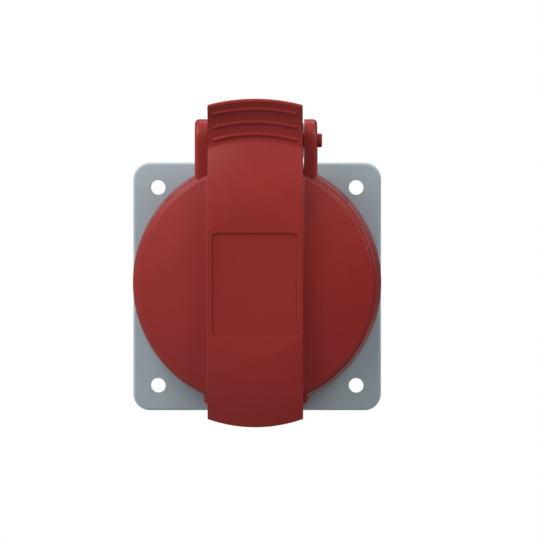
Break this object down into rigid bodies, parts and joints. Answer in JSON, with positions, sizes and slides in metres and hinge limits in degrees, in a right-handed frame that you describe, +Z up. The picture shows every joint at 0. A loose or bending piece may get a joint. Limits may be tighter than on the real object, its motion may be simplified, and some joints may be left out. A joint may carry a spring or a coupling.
{
  "type": "industrial panel socket",
  "caption": "Flanged industrial power socket for a panel, with round contacts in a keyed collar and a sprung lid that has a thumb tab.",
  "frame": {"origin": "centre of the square flange, on the face that meets the panel", "axes": "+Y out of the back of the flange into the panel, so the lid faces -Y; +Z up to the hinge; +X to the right seen from the front"},
  "size_m": [0.0753, 0.0795, 0.0991],
  "materials": {
    "grey_housing": "fine satin moulding",
    "red_plastic": "fine satin moulding",
    "seal_rubber": "matt",
    "insulator": "satin moulding",
    "contact_brass": "turned",
    "spring_steel": "drawn wire",
    "screw_steel": "zinc plated"
  },
  "bodies": {
    "root": {"flange_housing": "grey_housing", "flange_gasket": "seal_rubber", "front_collar": "red_plastic", "hinge_pin": "red_plastic", "lid_spring": "spring_steel", "contact_carrier": "insulator", "terminal_holder": "insulator", "contact_earth": "contact_brass", "contact_line_1": "contact_brass", "contact_line_2": "contact_brass", "contact_line_3": "contact_brass", "contact_neutral": "contact_brass", "grip_ring_earth": "spring_steel", "grip_ring_line_1": "spring_steel", "grip_ring_line_2": "spring_steel", "grip_ring_line_3": "spring_steel", "grip_ring_neutral": "spring_steel", "terminal_screw_earth": "screw_steel", "terminal_screw_line_1": "screw_steel", "terminal_screw_line_2": "screw_steel", "terminal_screw_line_3": "screw_steel", "terminal_screw_neutral": "screw_steel", "collar_screws": "screw_steel", "carrier_screws": "screw_steel", "centre_screw": "screw_steel"},
    "lid": {"lid": "red_plastic", "lid_gasket": "seal_rubber"}
  },
  "joints": [
    {"name": "lid_hinge", "type": "hinge", "parent": "root", "child": "lid", "pos_m": [0, -0.0234, 0.0445], "axis": [-1, 0, 0], "range_deg": [0, 110], "stiffness_Nm_per_rad": 0.04, "springref_deg": -91.67, "deforming": ["lid_spring"]}
  ]
}
